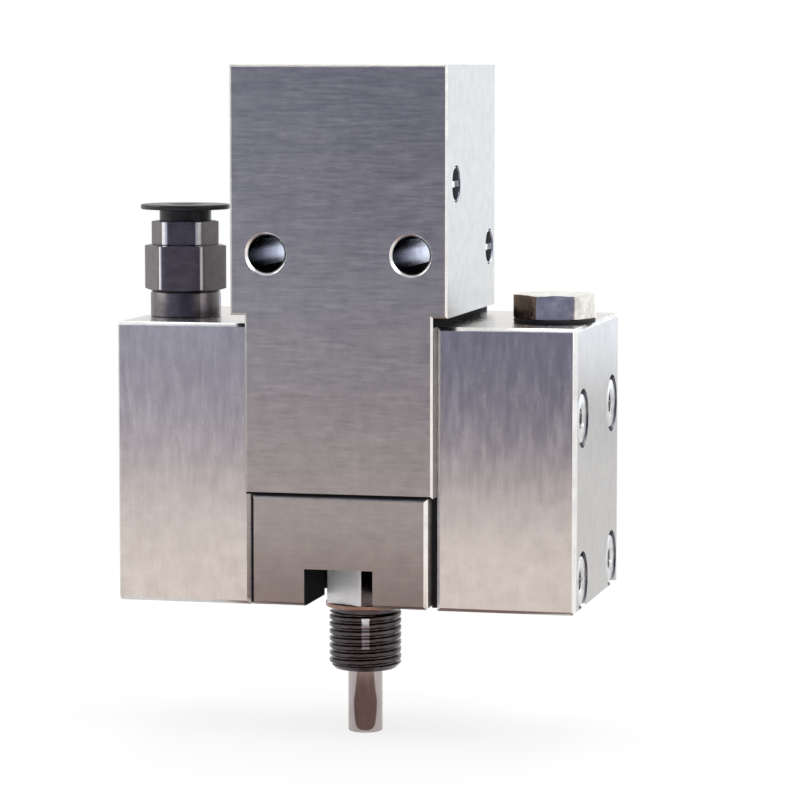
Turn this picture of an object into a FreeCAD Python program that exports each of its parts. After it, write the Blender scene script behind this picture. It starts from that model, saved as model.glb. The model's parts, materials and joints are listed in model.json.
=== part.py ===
import FreeCAD, Part

import math
import os

# Needle dispensing valve, millimetres. X to the right, Y to the back, Z up.
# The origin is the middle of the outlet tube's open end, and the valve axis is the Z axis.
# A pneumatic piston lifts the needle off its seat. A side block on the left brings the fluid in,
# and one on the right closes the purge passage with a hex plug.

os.makedirs("parts", exist_ok=True)

V = FreeCAD.Vector
UP = V(0, 0, 1)
BACK = V(0, 1, 0)
RIGHT = V(1, 0, 0)

# Fits and gaps
fit_gap = 0.03
running_gap = 0.05
seat_gap = 0.06
edge_break = 0.3
block_edge_break = 0.5
stop_gap = 0.3

# Outlet tube, thread and hex
tube_radius = 2.4
tube_bore_radius = 1.0
tube_reach = 8.9
tube_spigot_radius = 2.0
tube_spigot_length = 4.5
outlet_thread_radius = 5.0
outlet_thread_length = 8.7
outlet_bore_radius = 1.25
outlet_stem_radius = 4.0
outlet_chamfer = 0.8
outlet_relief_length = 0.8
outlet_relief_depth = 0.7
copper_ring_thickness = 0.7
copper_ring_radius = 5.5
outlet_hex_flats = 10.0
outlet_hex_height = 6.3
outlet_hex_turn = 37.0

# Seat block
recess_height = 5.1
recess_radius = 6.3
slot_width = 9.5
seat_block_height = 15.1

# Valve body
body_width = 30.0
body_depth = 30.0
neck_width = 26.0
neck_height = 24.2
upper_height = 33.6

# Mounting holes through the upper body
mount_spacing = 20.0
mount_radius = 2.25
mount_height_over_shoulder = 8.3
mount_chamfer = 0.35

# Side blocks
side_block_width = 19.0
side_block_depth = 32.0
side_block_setback = 2.5
side_block_drop = 0.4
shoulder_gap = 1.3
shim_thickness = 0.7
inlet_port_inset = 12.8
purge_port_inset = 13.6
passage_radius = 1.5
passage_height_over_seam = 5.3

# Side block screws
block_screw_radius = 2.0
block_screw_head_radius = 3.5
block_screw_head_height = 4.0
block_screw_counterbore_radius = 4.0
block_screw_sink = 0.4
block_screw_row_pitch = 22.0
block_screw_rows_below_seam = 0.4
block_screw_edge = 5.0
block_screw_grip = 7.0
block_screw_socket_flats = 3.0

# Seat block screws and dowels
seat_screw_radius = 1.25
seat_screw_head_radius = 2.25
seat_screw_head_height = 2.5
seat_screw_counterbore_radius = 2.5
seat_screw_edge = 3.3
seat_screw_front_pitch = 4.3
seat_screw_back_pitch = 5.5
seat_screw_grip = 7.5
seat_screw_socket_flats = 2.0
dowel_radius = 1.25
dowel_length = 8.0
dowel_pitch = 5.5

# Valve seat, chamber and needle
chamber_radius = 4.5
chamber_height = 9.8
seat_thickness = 3.0
seat_hole_radius = 0.9
seat_land = 1.4
seat_half_angle = 30.0
needle_radius = 2.0
needle_tip_radius = 0.5
needle_stem_radius = 1.5

# Seals
o_ring_radius = 0.55
o_ring_clearance = 0.02
seat_seal_radius = 6.2
port_seal_radius = 3.4
piston_ring_radius = 0.75

# Needle guides, stacked in the guide bore from the chamber up to the cylinder floor
guide_bore_radius = 5.0
rod_seal_height = 3.0
guide_bush_height = 9.0
retainer_height = 3.5
retainer_notch_width = 1.2
retainer_notch_depth = 1.0
gland_height = 10.5
gland_ring_below_top = 2.4

# Air cylinder
cylinder_radius = 10.0
air_gap = 1.3
piston_thickness = 3.4
piston_nut_flats = 5.5
piston_nut_height = 2.4
needle_end_over_nut = 0.3
stroke = 1.0
spring_wire_radius = 0.6
spring_radius = 7.2
spring_turns = 4

# Cap, retaining ring and stroke adjuster
cap_thickness = 5.0
cap_boss_radius = 4.6
cap_boss_height = 4.6
cap_well_radius = 6.6
cap_well_depth = 3.6
cap_below_top = 2.1
ring_thickness = 1.0
ring_groove_depth = 0.7
ring_width = 2.2
ring_opening = 5.0
adjuster_radius = 3.0
adjuster_below_top = 0.8
adjuster_travel = 1.0
adjuster_socket_flats = 3.0
adjuster_socket_depth = 3.0
lock_nut_flats = 10.0
lock_nut_height = 3.2
pad_radius = 2.4
pad_thickness = 1.0
pad_pin_radius = 1.0
pad_pin_length = 2.0

# Threaded side holes and the air port of the upper body
side_thread_radius = 2.5
side_screw_length = 4.0
side_screw_sink = 1.0
side_screw_socket_flats = 2.5
vent_y = -9.5
vent_over_mount = 9.4
vent_radius = 0.5
vent_offset = 1.5
clamp_screw_y = 11.6
clamp_screw_length = 1.6
air_port_y = 7.0
air_port_over_floor = 9.0
air_port_radius = 2.1
air_port_depth = 4.5
air_gallery_radius = 0.7
air_entry_lift = 0.2
air_gallery_x = -12.2

# Tube fitting on the left block
fitting_base_radius = 4.9
fitting_base_height = 3.7
fitting_hex_flats = 10.2
fitting_hex_height = 6.3
fitting_hex_turn = 9.0
fitting_nut_flats = 8.6
fitting_nut_height = 3.3
fitting_thread_radius = 4.0
fitting_thread_length = 7.0
fitting_hole_radius = 3.9
hose_radius = 2.1
hose_stop_height = 3.5
collar_neck_height = 1.6
collar_neck_radius = 3.6
collar_disc_radius = 6.2
collar_disc_thickness = 0.7
collar_skirt = 3.0
collar_travel = 1.2
gripper_height = 2.0

# Hex plug on the right block
plug_hex_flats = 10.0
plug_hex_height = 3.3
plug_hex_turn = 14.0
plug_washer_thickness = 0.6
plug_washer_radius = 5.6
plug_thread_radius = 4.0
plug_thread_length = 7.0

# Levels and faces that follow from the sizes
ring_low = tube_reach + outlet_thread_length
hex_low = ring_low + copper_ring_thickness
hex_high = hex_low + outlet_hex_height
seat_block_low = hex_high - recess_height
seam = seat_block_low + seat_block_height
shoulder = seam + neck_height
top = shoulder + upper_height
front = -body_depth / 2
upper_back = body_depth / 2
block_front = front + side_block_setback
block_back = block_front + side_block_depth
block_low = seat_block_low - side_block_drop
block_high = shoulder - shoulder_gap
neck_side = neck_width / 2
seat_block_side = neck_side - shim_thickness
seat_screw_x = seat_block_side - seat_screw_edge
block_side = neck_side + side_block_width
inlet_port_x = -neck_side - inlet_port_inset
purge_port_x = neck_side + purge_port_inset
passage_z = seam + passage_height_over_seam
mount_z = shoulder + mount_height_over_shoulder
screw_columns = (block_front + block_screw_edge, block_back - block_screw_edge)
seat_screw_front_y = screw_columns[0] - seat_screw_front_pitch
seat_screw_back_y = screw_columns[1] - seat_screw_back_pitch
dowel_y = seat_screw_back_y - dowel_pitch
screw_middle = seam - block_screw_rows_below_seam
screw_rows = (screw_middle - block_screw_row_pitch / 2, screw_middle + block_screw_row_pitch / 2)
seat_low = seam - seat_thickness
chamber_top = seam + chamber_height
bush_low = chamber_top + rod_seal_height
retainer_low = bush_low + guide_bush_height
gland_low = retainer_low + retainer_height
cylinder_floor = gland_low + gland_height
piston_low = cylinder_floor + air_gap
piston_high = piston_low + piston_thickness
piston_nut_high = piston_high + piston_nut_height
needle_high = piston_nut_high + needle_end_over_nut
cap_high = top - cap_below_top
cap_low = cap_high - cap_thickness
cap_well_low = cap_high - cap_well_depth
adjuster_high = top - adjuster_below_top
pad_low = needle_high + stroke + adjuster_travel + stop_gap
adjuster_low = pad_low + pad_thickness
vent_z = mount_z + vent_over_mount
air_port_z = cylinder_floor + air_port_over_floor
fitting_hex_low = block_high + fitting_base_height
fitting_nut_low = fitting_hex_low + fitting_hex_height
collar_neck_low = fitting_nut_low + fitting_nut_height
collar_disc_low = collar_neck_low + collar_neck_height
collar_high = collar_disc_low + collar_disc_thickness
collar_low = collar_neck_low - collar_skirt
gripper_high = collar_low - collar_travel - fit_gap
gripper_low = gripper_high - gripper_height
hose_stop = block_high + hose_stop_height
groove_half_width = o_ring_radius + 0.35
groove_depth = 2 * o_ring_radius


# Shapes used by several pieces
def box(x_low, x_high, y_low, y_high, z_low, z_high):
    return Part.makeBox(x_high - x_low, y_high - y_low, z_high - z_low, V(x_low, y_low, z_low))


def post(radius, z_low, z_high, x=0.0, y=0.0):
    return Part.makeCylinder(radius, z_high - z_low, V(x, y, z_low), UP)


def bar_x(radius, x_low, x_high, y, z):
    return Part.makeCylinder(radius, x_high - x_low, V(x_low, y, z), RIGHT)


def bar_y(radius, y_low, y_high, x, z):
    return Part.makeCylinder(radius, y_high - y_low, V(x, y_low, z), BACK)


def sleeve(inner, outer, z_low, z_high, x=0.0, y=0.0):
    return post(outer, z_low, z_high, x, y).cut(post(inner, z_low, z_high, x, y))


def hex_prism(flats, length, base, axis=UP, turn=0.0):
    radius = flats / math.sqrt(3)
    corners = []
    for step in range(7):
        angle = math.radians(60 * step + turn)
        corners.append(V(radius * math.cos(angle), radius * math.sin(angle), 0))
    prism = Part.Face(Part.makePolygon(corners)).extrude(V(0, 0, length))
    prism.Placement = FreeCAD.Placement(base, FreeCAD.Rotation(UP, axis))
    return prism


def hex_blank(flats, length, base, turn, bevel):
    # A hex whose corners are turned down at both ends, as nuts and fittings are.
    prism = hex_prism(flats, length, base, UP, turn)
    corner = flats / math.sqrt(3)
    rise = (corner + fit_gap - flats / 2) * bevel
    tall = length - 2 * rise
    turned = post(corner + fit_gap, base.z + rise, base.z + rise + tall, base.x, base.y)
    low = Part.makeCone(flats / 2, corner + fit_gap, rise, base, UP)
    high = Part.makeCone(corner + fit_gap, flats / 2, rise, base + V(0, 0, rise + tall), UP)
    return prism.common(turned.fuse([low, high]).removeSplitter())


def revolved(points, x=0.0, y=0.0):
    # A turned piece from its half section, given as radius and height pairs.
    corners = [V(radius, 0, height) for radius, height in points]
    half = Part.Face(Part.makePolygon(corners + corners[:1]))
    piece = half.revolve(V(0, 0, 0), UP, 360)
    piece.translate(V(x, y, 0))
    return piece


def o_ring(radius, section, centre, axis=UP):
    return Part.makeTorus(radius, section - o_ring_clearance, centre, axis)


def groove(radius, depth, base, axis=UP):
    outer = Part.makeCylinder(radius + groove_half_width, depth, base, axis)
    return outer.cut(Part.makeCylinder(radius - groove_half_width, depth, base, axis))


def break_edges_at(shape, size, axis, place):
    # Chamfers the straight edges that lie in one plane across the X, Y or Z axis.
    picked = []
    for edge in shape.Edges:
        ends = [getattr(vertex.Point, axis) for vertex in edge.Vertexes]
        if len(ends) == 2 and all(abs(end - place) < 1e-6 for end in ends):
            picked.append(edge)
    return shape.makeChamfer(size, picked)


def cap_screw(radius, head_radius, head_height, length, socket_flats, seat, axis):
    # The seat is where the head's underside rests, and the axis points from the head to the tip.
    shank = Part.makeCylinder(radius, length, seat, axis)
    head = Part.makeCylinder(head_radius, head_height, seat - axis * head_height, axis)
    socket = hex_prism(socket_flats, head_height / 2, seat - axis * head_height, axis)
    return shank.fuse(head).removeSplitter().cut(socket)


def grub_screw(radius, length, socket_flats, outer_end, axis):
    body = Part.makeCylinder(radius, length, outer_end, axis)
    return body.cut(hex_prism(socket_flats, length / 2, outer_end, axis))


def compound(pieces):
    return Part.makeCompound(pieces)


# Lower end: outlet tube, outlet fitting and its copper ring
def outlet_tube():
    end = tube_reach + tube_spigot_length
    tube = post(tube_radius, 0, tube_reach).fuse(post(tube_spigot_radius, tube_reach, end))
    return tube.removeSplitter().cut(post(tube_bore_radius, 0, end))


def outlet_fitting():
    inner = outlet_thread_radius - outlet_chamfer
    thread = Part.makeCone(inner, outlet_thread_radius, outlet_chamfer, V(0, 0, tube_reach), UP)
    thread = thread.fuse(post(outlet_thread_radius, tube_reach + outlet_chamfer, hex_low))
    flange = hex_blank(outlet_hex_flats, outlet_hex_height, V(0, 0, hex_low), outlet_hex_turn, 0.5)
    stem = post(outlet_stem_radius, hex_high, seat_low)
    solid = thread.fuse([flange, stem]).removeSplitter()
    ring_seat = sleeve(outlet_thread_radius - 2 * fit_gap, outlet_thread_radius, ring_low, hex_low)
    relief = sleeve(outlet_thread_radius - outlet_relief_depth, outlet_thread_radius,
                    ring_low - outlet_relief_length, ring_low)
    socket = post(tube_spigot_radius + fit_gap, tube_reach, tube_reach + tube_spigot_length)
    bore = post(outlet_bore_radius, tube_reach, seat_low)
    return solid.cut([ring_seat, relief, socket, bore])


def copper_ring():
    ring = sleeve(outlet_thread_radius - fit_gap, copper_ring_radius, ring_low, hex_low)
    return ring


# Seat block, valve seat and what holds them under the body
def seat_screw_places():
    places = []
    for y in (seat_screw_front_y, seat_screw_back_y):
        for x in (-seat_screw_x, seat_screw_x):
            places.append((x, y))
    return places


def seat_block():
    solid = box(-seat_block_side, seat_block_side, front, block_back, seat_block_low, seam)
    solid = break_edges_at(solid, block_edge_break, "y", front)
    solid = break_edges_at(solid, edge_break, "z", seat_block_low)
    cuts = [post(recess_radius, seat_block_low, hex_high)]
    cuts.append(box(-slot_width / 2, slot_width / 2, front, 0, seat_block_low, hex_high))
    cuts.append(post(outlet_stem_radius + fit_gap, hex_high, seat_low))
    cuts.append(post(chamber_radius + fit_gap, seat_low, seam))
    cuts.append(groove(seat_seal_radius, groove_depth, V(0, 0, seam - groove_depth)))
    for x, y in seat_screw_places():
        head_seat = seat_block_low + seat_screw_head_height + edge_break
        cuts.append(post(seat_screw_counterbore_radius, seat_block_low, head_seat, x, y))
        cuts.append(post(seat_screw_radius + fit_gap, head_seat, seam, x, y))
    for x in (-seat_screw_x, seat_screw_x):
        cuts.append(post(dowel_radius + fit_gap, seam - dowel_length / 2, seam, x, dowel_y))
    for y in screw_columns:
        inner = seat_block_side - block_screw_grip
        cuts.append(bar_x(block_screw_radius + fit_gap, inner, seat_block_side, y, screw_rows[0]))
        cuts.append(bar_x(block_screw_radius + fit_gap, -seat_block_side, -inner, y, screw_rows[0]))
    return solid.cut(cuts)


def valve_seat():
    rise = seat_thickness - seat_land
    mouth = seat_hole_radius + rise * math.tan(math.radians(seat_half_angle))
    return revolved([
        (seat_hole_radius, seat_low),
        (chamber_radius, seat_low),
        (chamber_radius, seam),
        (mouth, seam),
        (seat_hole_radius, seat_low + seat_land),
    ])


def seat_block_seal():
    return o_ring(seat_seal_radius, o_ring_radius, V(0, 0, seam - o_ring_radius))


def seat_block_screws():
    screws = []
    for x, y in seat_screw_places():
        seat = V(x, y, seat_block_low + seat_screw_head_height + edge_break)
        length = seam - seat.z + seat_screw_grip
        screws.append(cap_screw(seat_screw_radius, seat_screw_head_radius, seat_screw_head_height,
                                length, seat_screw_socket_flats, seat, UP))
    return compound(screws)


def seat_block_dowels():
    low = seam - dowel_length / 2
    return compound([post(dowel_radius, low, low + dowel_length, x, dowel_y)
                     for x in (-seat_screw_x, seat_screw_x)])


# Valve body with its bores, mounting holes and threaded side holes
def body_blank():
    half = body_width / 2
    outline = [
        V(-neck_side, front, seam), V(neck_side, front, seam),
        V(neck_side, front, shoulder), V(half, front, shoulder),
        V(half, front, top), V(-half, front, top),
        V(-half, front, shoulder), V(-neck_side, front, shoulder),
    ]
    blank = Part.Face(Part.makePolygon(outline + outline[:1])).extrude(V(0, body_depth, 0))
    blank = break_edges_at(blank, edge_break, "y", front)
    ledge = box(-neck_side, neck_side, 0, block_back, seam, shoulder)
    return blank.fuse(ledge).removeSplitter()


def mounting_hole(x):
    hole = bar_y(mount_radius, front, upper_back, x, mount_z)
    outer = mount_radius + mount_chamfer
    mouth = Part.makeCone(outer, mount_radius, mount_chamfer, V(x, front, mount_z), BACK)
    rear = Part.makeCone(mount_radius, outer, mount_chamfer,
                         V(x, upper_back - mount_chamfer, mount_z), BACK)
    return hole.fuse([mouth, rear])


def air_passages():
    half = body_width / 2
    port = bar_x(air_port_radius, -half, -half + air_port_depth, air_port_y, air_port_z)
    entry_z = cylinder_floor + air_gallery_radius + air_entry_lift
    gallery = post(air_gallery_radius, entry_z, air_port_z, air_gallery_x, air_port_y)
    entry = bar_x(air_gallery_radius, air_gallery_x, -cylinder_radius / 2, air_port_y, entry_z)
    vent_hole = bar_x(side_thread_radius, half - side_screw_sink - side_screw_length, half,
                      vent_y, vent_z)
    vent = bar_x(vent_radius, cylinder_radius / 2, half - side_screw_length, vent_y + vent_offset,
                 vent_z)
    return [port, gallery, entry, vent_hole, vent]


def valve_body():
    half = body_width / 2
    cuts = [post(chamber_radius, seam, chamber_top)]
    cuts.append(post(guide_bore_radius, chamber_top, cylinder_floor))
    cuts.append(post(cylinder_radius, cylinder_floor, top))
    cuts.append(post(cylinder_radius + ring_groove_depth, cap_high, cap_high + ring_thickness))
    cuts += [mounting_hole(-mount_spacing / 2), mounting_hole(mount_spacing / 2)]
    cuts += air_passages()
    clamp_low = mount_spacing / 2 + mount_radius - fit_gap
    cuts.append(bar_x(side_thread_radius, clamp_low, half, clamp_screw_y, mount_z))
    cuts.append(bar_x(passage_radius, -neck_side, neck_side, 0, passage_z))
    for x, y in seat_screw_places():
        cuts.append(post(seat_screw_radius + fit_gap, seam, seam + seat_screw_grip, x, y))
    for x in (-seat_screw_x, seat_screw_x):
        cuts.append(post(dowel_radius + fit_gap, seam, seam + dowel_length / 2, x, dowel_y))
    for y in screw_columns:
        inner = neck_side - block_screw_grip
        cuts.append(bar_x(block_screw_radius + fit_gap, inner, neck_side, y, screw_rows[1]))
        cuts.append(bar_x(block_screw_radius + fit_gap, -neck_side, -inner, y, screw_rows[1]))
    return body_blank().cut(cuts)


# Side blocks, one function for both, mirrored about the valve axis
def side_block(side, port_x, stem_radius, stem_length):
    near = side * neck_side
    far = side * block_side
    solid = box(min(near, far), max(near, far), block_front, block_back, block_low, block_high)
    solid = break_edges_at(solid, block_edge_break, "y", block_front)
    solid = break_edges_at(solid, block_edge_break, "x", far)
    cuts = [post(stem_radius + fit_gap, block_high - stem_length, block_high, port_x, 0)]
    cuts.append(post(passage_radius, passage_z, block_high, port_x, 0))
    cuts.append(bar_x(passage_radius, min(near, port_x), max(near, port_x), 0, passage_z))
    cuts.append(groove(port_seal_radius, groove_depth, V(near, 0, passage_z), RIGHT * side))
    head_depth = block_screw_head_height + block_screw_sink
    for y in screw_columns:
        for z in screw_rows:
            cuts.append(Part.makeCylinder(block_screw_counterbore_radius, head_depth,
                                          V(far, y, z), RIGHT * -side))
            cuts.append(Part.makeCylinder(block_screw_radius + fit_gap, side_block_width,
                                          V(far, y, z), RIGHT * -side))
    return solid.cut(cuts)


def side_block_screws(side):
    seat_x = side * (block_side - block_screw_head_height - block_screw_sink)
    screws = []
    for y in screw_columns:
        for z, inner_face in zip(screw_rows, (seat_block_side, neck_side)):
            length = abs(seat_x) - inner_face + block_screw_grip
            screws.append(cap_screw(block_screw_radius, block_screw_head_radius,
                                    block_screw_head_height, length - fit_gap,
                                    block_screw_socket_flats, V(seat_x, y, z), RIGHT * -side))
    return compound(screws)


def shim(side):
    # Fills the slit between the seat block and a side block, so the lower screws can pull tight.
    low = min(side * seat_block_side, side * neck_side)
    high = low + shim_thickness
    plate = box(low, high, block_front + block_edge_break, block_back, seat_block_low, seam)
    holes = [bar_x(block_screw_radius + fit_gap, low, high, y, screw_rows[0]) for y in screw_columns]
    return plate.cut(holes)


def port_seal(side):
    return o_ring(port_seal_radius, o_ring_radius, V(side * (neck_side + o_ring_radius), 0, passage_z),
                  RIGHT)


# Needle and the guides that it slides in
def needle():
    slope = math.tan(math.radians(seat_half_angle))
    lift = seat_gap / math.sin(math.radians(seat_half_angle))
    cone_base = seat_low + seat_land + lift - seat_hole_radius / slope
    tip = cone_base + needle_tip_radius / slope
    cone_top = cone_base + needle_radius / slope
    return revolved([
        (0, tip),
        (needle_tip_radius, tip),
        (needle_radius, cone_top),
        (needle_radius, piston_low),
        (needle_stem_radius, piston_low),
        (needle_stem_radius, needle_high),
        (0, needle_high),
    ])


def rod_seal():
    lip = needle_radius + running_gap
    outer = guide_bore_radius - fit_gap
    middle = (lip + outer) / 2
    return revolved([
        (lip, chamber_top),
        (middle, chamber_top + rod_seal_height / 2),
        (outer, chamber_top),
        (outer, bush_low),
        (lip, bush_low),
    ])


def guide_bush():
    return sleeve(needle_radius + running_gap, guide_bore_radius - fit_gap, bush_low, retainer_low)


def seal_retainer():
    ring = sleeve(needle_radius + running_gap, guide_bore_radius - fit_gap, retainer_low, gland_low)
    half = retainer_notch_width / 2
    notch = box(-guide_bore_radius, guide_bore_radius, -half, half,
                gland_low - retainer_notch_depth, gland_low)
    return ring.cut(notch)


def gland_ring_z():
    return cylinder_floor - gland_ring_below_top


def air_gland():
    bush = sleeve(needle_radius + running_gap, guide_bore_radius - fit_gap, gland_low, cylinder_floor)
    seat = sleeve(needle_radius, needle_radius + running_gap + 2 * o_ring_radius,
                  gland_ring_z() - o_ring_radius, gland_ring_z() + o_ring_radius)
    return bush.cut(seat)


def gland_seal():
    return o_ring(needle_radius + running_gap + o_ring_radius, o_ring_radius, V(0, 0, gland_ring_z()))


# Piston and return spring
def piston_ring_seat():
    return cylinder_radius - running_gap - piston_ring_radius


def piston():
    solid = sleeve(needle_stem_radius + fit_gap, cylinder_radius - running_gap, piston_low, piston_high)
    middle = (piston_low + piston_high) / 2
    seat = sleeve(piston_ring_seat() - piston_ring_radius, cylinder_radius,
                  middle - piston_ring_radius, middle + piston_ring_radius)
    return solid.cut(seat)


def piston_seal():
    middle = (piston_low + piston_high) / 2
    return o_ring(piston_ring_seat(), piston_ring_radius, V(0, 0, middle))


def piston_nut():
    nut = hex_blank(piston_nut_flats, piston_nut_height, V(0, 0, piston_high), 0, 0.5)
    return nut.cut(post(needle_stem_radius + fit_gap, piston_high, piston_nut_high))


def return_spring():
    rise = cap_low - piston_high - 2 * spring_wire_radius - 2 * fit_gap
    coil = Part.makeHelix(rise / spring_turns, rise, spring_radius)
    section = Part.makeCircle(spring_wire_radius, V(spring_radius, 0, 0), BACK)
    spring = Part.Wire(coil.Edges).makePipeShell([Part.Wire([section])], True, True)
    spring.translate(V(0, 0, piston_high + spring_wire_radius + fit_gap))
    return spring


# Cap, its retaining ring and the stroke adjuster
def top_cap():
    disc = post(cylinder_radius - fit_gap, cap_low, cap_high)
    boss = post(cap_boss_radius, cap_low - cap_boss_height, cap_low)
    ring_z = (cap_low + cap_high) / 2
    ring_seat = sleeve(cylinder_radius - 2 * o_ring_radius, cylinder_radius,
                       ring_z - o_ring_radius, ring_z + o_ring_radius)
    well = post(cap_well_radius, cap_well_low, cap_high)
    bore = post(adjuster_radius + running_gap, cap_low - cap_boss_height, cap_high)
    return disc.fuse(boss).removeSplitter().cut([ring_seat, well, bore])


def cap_seal():
    return o_ring(cylinder_radius - o_ring_radius, o_ring_radius, V(0, 0, (cap_low + cap_high) / 2))


def cap_retaining_ring():
    outer = cylinder_radius + ring_groove_depth - fit_gap
    ring = sleeve(outer - ring_width, outer, cap_high, cap_high + ring_thickness - fit_gap)
    gap = box(-ring_opening / 2, ring_opening / 2, -outer, 0, cap_high, cap_high + ring_thickness)
    return ring.cut(gap)


def adjuster_screw():
    screw = post(adjuster_radius, adjuster_low, adjuster_high)
    screw = screw.makeChamfer(edge_break, [screw.Edges[0], screw.Edges[2]])
    socket = hex_prism(adjuster_socket_flats, adjuster_socket_depth,
                       V(0, 0, adjuster_high - adjuster_socket_depth))
    pin_hole = post(pad_pin_radius + running_gap, adjuster_low,
                    adjuster_low + pad_pin_length + running_gap)
    return screw.cut([socket, pin_hole])


def stop_pad():
    disc = post(pad_radius, pad_low, adjuster_low)
    return disc.fuse(post(pad_pin_radius, adjuster_low, adjuster_low + pad_pin_length)).removeSplitter()


def lock_nut():
    nut = hex_blank(lock_nut_flats, lock_nut_height, V(0, 0, cap_well_low), 0, 0.5)
    return nut.cut(post(adjuster_radius + running_gap, cap_well_low, cap_well_low + lock_nut_height))


# Screws in the right side of the upper body
def vent_plug():
    outer_end = V(body_width / 2 - side_screw_sink, vent_y, vent_z)
    return grub_screw(side_thread_radius - fit_gap, side_screw_length, side_screw_socket_flats,
                      outer_end, RIGHT * -1)


def mount_clamp_screw():
    tip_x = mount_spacing / 2 + mount_radius
    outer_end = V(tip_x + clamp_screw_length, clamp_screw_y, mount_z)
    return grub_screw(side_thread_radius - fit_gap, clamp_screw_length, side_screw_socket_flats,
                      outer_end, RIGHT * -1)


# Push-in tube fitting on the left block
def inlet_fitting_body():
    x = inlet_port_x
    base = post(fitting_base_radius, block_high, fitting_hex_low, x)
    stem = post(fitting_thread_radius, block_high - fitting_thread_length, block_high, x)
    grip = hex_blank(fitting_hex_flats, fitting_hex_height, V(x, 0, fitting_hex_low),
                     fitting_hex_turn, 1.0)
    solid = base.fuse([stem, grip]).removeSplitter()
    bore = post(passage_radius, block_high - fitting_thread_length, hose_stop, x)
    hose = post(hose_radius, hose_stop, gripper_low, x)
    room = post(fitting_hole_radius, gripper_low, fitting_nut_low, x)
    return solid.cut([bore, hose, room])


def inlet_fitting_nut():
    x = inlet_port_x
    nut = hex_blank(fitting_nut_flats, fitting_nut_height, V(x, 0, fitting_nut_low),
                    fitting_hex_turn, 1.0)
    return nut.cut(post(collar_neck_radius + running_gap, fitting_nut_low, collar_neck_low, x))


def release_collar():
    return revolved([
        (hose_radius, collar_low),
        (collar_neck_radius, collar_low),
        (collar_neck_radius, collar_disc_low),
        (collar_disc_radius, collar_disc_low),
        (collar_disc_radius, collar_high),
        (hose_radius, collar_high),
    ], inlet_port_x)


def tube_gripper():
    return sleeve(hose_radius, fitting_hole_radius - fit_gap, gripper_low, gripper_high, inlet_port_x)


# Hex plug and washer on the right block
def hex_plug():
    low = block_high + plug_washer_thickness
    head = hex_blank(plug_hex_flats, plug_hex_height, V(purge_port_x, 0, low), plug_hex_turn, 0.5)
    stem = post(plug_thread_radius, block_high - plug_thread_length, low, purge_port_x)
    return head.fuse(stem).removeSplitter()


def plug_washer():
    return sleeve(plug_thread_radius + fit_gap, plug_washer_radius, block_high,
                  block_high + plug_washer_thickness, purge_port_x)


pieces = {
    "valve_body": valve_body(),
    "seat_block": seat_block(),
    "seat_block_screws": seat_block_screws(),
    "seat_block_dowels": seat_block_dowels(),
    "seat_block_seal": seat_block_seal(),
    "valve_seat": valve_seat(),
    "outlet_fitting": outlet_fitting(),
    "outlet_copper_ring": copper_ring(),
    "outlet_tube": outlet_tube(),
    "inlet_block": side_block(-1, inlet_port_x, fitting_thread_radius, fitting_thread_length),
    "inlet_block_screws": side_block_screws(-1),
    "inlet_shim": shim(-1),
    "inlet_port_seal": port_seal(-1),
    "purge_block": side_block(1, purge_port_x, plug_thread_radius, plug_thread_length),
    "purge_block_screws": side_block_screws(1),
    "purge_shim": shim(1),
    "purge_port_seal": port_seal(1),
    "needle": needle(),
    "rod_seal": rod_seal(),
    "guide_bush": guide_bush(),
    "seal_retainer": seal_retainer(),
    "air_gland": air_gland(),
    "gland_seal": gland_seal(),
    "piston": piston(),
    "piston_seal": piston_seal(),
    "piston_nut": piston_nut(),
    "return_spring": return_spring(),
    "top_cap": top_cap(),
    "cap_seal": cap_seal(),
    "cap_retaining_ring": cap_retaining_ring(),
    "stroke_adjuster_screw": adjuster_screw(),
    "stroke_stop_pad": stop_pad(),
    "adjuster_lock_nut": lock_nut(),
    "vent_plug": vent_plug(),
    "mount_clamp_screw": mount_clamp_screw(),
    "inlet_fitting_body": inlet_fitting_body(),
    "inlet_fitting_nut": inlet_fitting_nut(),
    "release_collar": release_collar(),
    "tube_gripper": tube_gripper(),
    "hex_plug": hex_plug(),
    "plug_washer": plug_washer(),
}

for name, shape in pieces.items():
    if not shape.isValid():
        raise ValueError(name + " is not a valid solid")
    shape.exportStep("parts/" + name + ".step")
    volume = sum(solid.Volume for solid in shape.Solids)
    print(f"{name:24s} {len(shape.Solids)} solids {volume:10.1f} mm3")
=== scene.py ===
# %% [markdown]
# A small needle dispensing valve, dressed for a close product view.
# The solids of the valve come from a CAD model, packed as a fixed frame. This file gives them
# their finishes, and makes again in mesh the turned pieces whose threads, knurls and sockets
# are too fine for the solids. All lengths here are metres, in the same frame as the CAD model.

import json
from math import atan2, cos, hypot, pi, radians, sin, sqrt

import bmesh
import bpy
from mathutils import Matrix, Vector


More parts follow.
